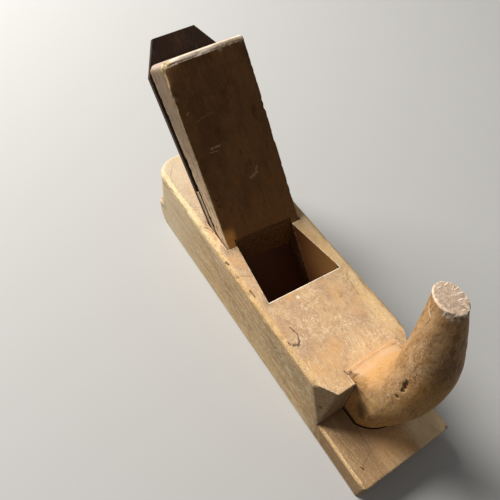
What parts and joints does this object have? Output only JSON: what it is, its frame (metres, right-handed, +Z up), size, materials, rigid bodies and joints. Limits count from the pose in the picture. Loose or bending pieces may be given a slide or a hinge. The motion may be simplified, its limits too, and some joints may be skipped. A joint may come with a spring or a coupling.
{
  "type": "wooden hand plane",
  "caption": "Wooden smoothing plane with a stepped toe, a carved upright front horn, and an iron and cap iron held on a sloping bed by a forked wedge.",
  "frame": {"origin": "middle of the flat sole", "axes": "+X towards the toe with its horn, +Y to the plane's left, +Z up from the sole"},
  "size_m": [0.2336, 0.06, 0.1411],
  "materials": {
    "stock_wood": "worn bare beech",
    "horn_wood": "carved hardwood, hand-polished",
    "wedge_wood": "worn bare beech, darkened face",
    "iron_steel": "dark brown patina",
    "cap_steel": "dark brown patina",
    "bush_brass": "tarnished",
    "screw_steel": "dull, tarnished"
  },
  "bodies": {
    "plane_body": {"stock": "stock_wood", "horn": "horn_wood"},
    "blade": {"iron": "iron_steel"},
    "chip_breaker": {"cap_iron": "cap_steel", "cap_bush": "bush_brass"},
    "screw": {"cap_screw": "screw_steel"},
    "wedge": {"wedge": "wedge_wood"}
  },
  "joints": [
    {"name": "iron_slide", "type": "slide", "parent": "plane_body", "child": "blade", "axis": [-0.682, 0, 0.7314], "range_m": [-0.0006, 0.115]},
    {"name": "cap_slide", "type": "slide", "parent": "blade", "child": "chip_breaker", "axis": [-0.682, 0, 0.7314], "range_m": [-0.0008, 0.0665]},
    {"name": "screw_turn", "type": "hinge", "parent": "chip_breaker", "child": "screw", "pos_m": [-0.0378, 0, 0.0414], "axis": [0.7314, 0, 0.682], "range_deg": [0, 450]},
    {"name": "wedge_slide", "type": "slide", "parent": "chip_breaker", "child": "wedge", "axis": [-0.682, 0, 0.7314], "range_m": [0, 0.115]}
  ]
}
